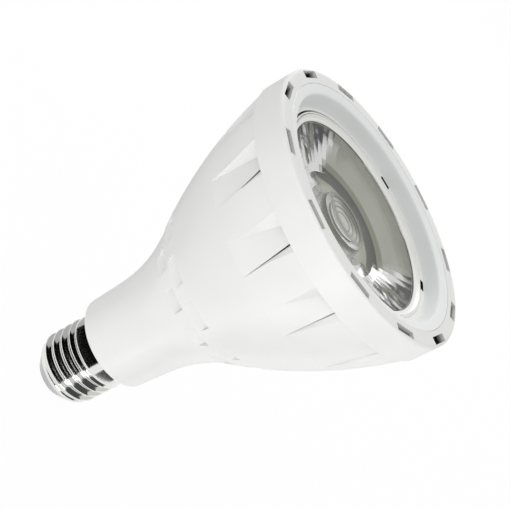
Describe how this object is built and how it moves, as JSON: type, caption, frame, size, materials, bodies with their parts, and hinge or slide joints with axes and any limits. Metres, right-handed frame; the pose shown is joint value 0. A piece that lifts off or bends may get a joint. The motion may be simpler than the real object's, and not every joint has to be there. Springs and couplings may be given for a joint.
{
  "type": "led spotlight bulb",
  "caption": "Flared white spotlight bulb with a recessed clear lens, slotted rim, pocketed bell, slim neck and a metal screw cap.",
  "frame": {"origin": "tip of the centre contact, where the bulb meets the bottom of its lampholder", "axes": "+Z along the lamp axis from the cap to the light-giving front; +X through the middle of one rim pocket"},
  "size_m": [0.0952, 0.0952, 0.133],
  "materials": {
    "housing_plastic": "satin gloss moulding",
    "bezel_plastic": "satin gloss moulding",
    "holder_plastic": "gloss moulding",
    "clear_acrylic": "polished clear moulding",
    "plated_brass": "bright nickel plate",
    "insulator_plastic": "smooth moulding",
    "contact_brass": "tinned",
    "die_cast_aluminium": "as cast",
    "ceramic_board": "matt ceramic",
    "phosphor": "matt silicone",
    "clamp_plastic": "matt moulding",
    "zinc_steel": "zinc plated",
    "circuit_laminate": "solder mask",
    "ferrite": "sintered",
    "winding_tape": "film tape",
    "can_sleeve": "shrink sleeve",
    "film_box": "potted box",
    "component_black": "moulded epoxy",
    "resistor_body": "cement coat",
    "lead_insulation": "soft sleeve"
  },
  "bodies": {
    "root": {"housing": "housing_plastic", "front_bezel": "bezel_plastic", "lens_holder": "holder_plastic", "lens_cup": "holder_plastic", "lens": "clear_acrylic", "screw_shell": "plated_brass", "base_insulator": "insulator_plastic", "centre_contact": "contact_brass", "heat_sink": "die_cast_aluminium", "heat_sink_screws": "zinc_steel", "cob_board": "ceramic_board", "cob_phosphor": "phosphor", "cob_holder": "clamp_plastic", "cob_screws": "zinc_steel", "driver_board": "circuit_laminate", "transformer_core": "ferrite", "transformer_winding": "winding_tape", "input_capacitor": "can_sleeve", "output_capacitor": "can_sleeve", "film_capacitor": "film_box", "choke": "ferrite", "bridge_rectifier": "component_black", "control_chip": "component_black", "fuse_resistor": "resistor_body", "supply_leads": "lead_insulation", "led_leads": "lead_insulation"}
  },
  "joints": []
}
